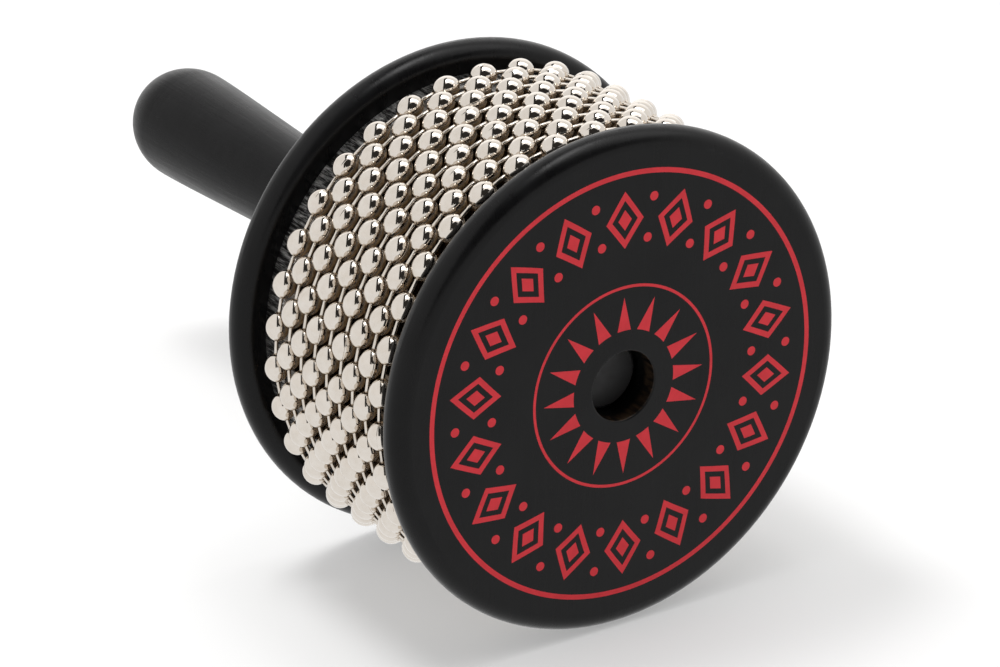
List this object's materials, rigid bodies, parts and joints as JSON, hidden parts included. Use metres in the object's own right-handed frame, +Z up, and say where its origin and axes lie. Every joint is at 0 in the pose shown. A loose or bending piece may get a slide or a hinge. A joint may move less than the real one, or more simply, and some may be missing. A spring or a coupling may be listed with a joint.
{
  "type": "cabasa",
  "caption": "Hand percussion cabasa: loops of nickel beads turn round a textured steel drum held between black wooden discs, on a turned handle with a rounded butt.",
  "frame": {"origin": "on the ground under the middle of the whole length, midway across, with the cabasa lying on the rims of its discs", "axes": "+Z up, +Y along the drum's axis from the front disc towards the butt of the handle, +X to the right of someone facing the front disc"},
  "size_m": [0.12, 0.211, 0.12],
  "materials": {
    "black_lacquer_printed": "satin black paint on turned wood, with a plain red ring line and small red ornament printed on it",
    "black_lacquer": "satin black paint on turned wood",
    "bare_wood": "bare turned wood",
    "stained_wood": "wooden dowel, its end painted black",
    "textured_steel": "stainless sheet, textured with short coarse scratches",
    "nickel_bead": "bright warm nickel plate on steel",
    "nickel_wire": "bright warm nickel plate on steel wire"
  },
  "bodies": {
    "drum": {"front_disc": "black_lacquer_printed", "back_disc": "black_lacquer", "drum_core": "bare_wood", "drum_sleeve": "textured_steel", "handle_spindle": "stained_wood", "handle_grip": "black_lacquer"},
    "loop_1": {"loop_1_beads": "nickel_bead", "loop_1_links": "nickel_wire"},
    "loop_2": {"loop_2_beads": "nickel_bead", "loop_2_links": "nickel_wire"},
    "loop_3": {"loop_3_beads": "nickel_bead", "loop_3_links": "nickel_wire"},
    "loop_4": {"loop_4_beads": "nickel_bead", "loop_4_links": "nickel_wire"},
    "loop_5": {"loop_5_beads": "nickel_bead", "loop_5_links": "nickel_wire"},
    "loop_6": {"loop_6_beads": "nickel_bead", "loop_6_links": "nickel_wire"},
    "loop_7": {"loop_7_beads": "nickel_bead", "loop_7_links": "nickel_wire"},
    "loop_8": {"loop_8_beads": "nickel_bead", "loop_8_links": "nickel_wire"},
    "loop_9": {"loop_9_beads": "nickel_bead", "loop_9_links": "nickel_wire"}
  },
  "joints": [
    {"name": "loop_1_turn", "type": "hinge", "parent": "drum", "child": "loop_1", "pos_m": [0, -0.0929, 0.06], "axis": [0, 1, 0], "continuous": true},
    {"name": "loop_2_turn", "type": "hinge", "parent": "drum", "child": "loop_2", "pos_m": [0, -0.08738, 0.06], "axis": [0, 1, 0], "continuous": true},
    {"name": "loop_3_turn", "type": "hinge", "parent": "drum", "child": "loop_3", "pos_m": [0, -0.08186, 0.06], "axis": [0, 1, 0], "continuous": true},
    {"name": "loop_4_turn", "type": "hinge", "parent": "drum", "child": "loop_4", "pos_m": [0, -0.07634, 0.06], "axis": [0, 1, 0], "continuous": true},
    {"name": "loop_5_turn", "type": "hinge", "parent": "drum", "child": "loop_5", "pos_m": [0, -0.07082, 0.06], "axis": [0, 1, 0], "continuous": true},
    {"name": "loop_6_turn", "type": "hinge", "parent": "drum", "child": "loop_6", "pos_m": [0, -0.0653, 0.06], "axis": [0, 1, 0], "continuous": true},
    {"name": "loop_7_turn", "type": "hinge", "parent": "drum", "child": "loop_7", "pos_m": [0, -0.05978, 0.06], "axis": [0, 1, 0], "continuous": true},
    {"name": "loop_8_turn", "type": "hinge", "parent": "drum", "child": "loop_8", "pos_m": [0, -0.05426, 0.06], "axis": [0, 1, 0], "continuous": true},
    {"name": "loop_9_turn", "type": "hinge", "parent": "drum", "child": "loop_9", "pos_m": [0, -0.04874, 0.06], "axis": [0, 1, 0], "continuous": true}
  ],
  "couplings": [
    {"joint": "loop_2_turn", "follows": "loop_1_turn", "ratio": 1},
    {"joint": "loop_3_turn", "follows": "loop_1_turn", "ratio": 1},
    {"joint": "loop_4_turn", "follows": "loop_1_turn", "ratio": 1},
    {"joint": "loop_5_turn", "follows": "loop_1_turn", "ratio": 1},
    {"joint": "loop_6_turn", "follows": "loop_1_turn", "ratio": 1},
    {"joint": "loop_7_turn", "follows": "loop_1_turn", "ratio": 1},
    {"joint": "loop_8_turn", "follows": "loop_1_turn", "ratio": 1},
    {"joint": "loop_9_turn", "follows": "loop_1_turn", "ratio": 1}
  ]
}
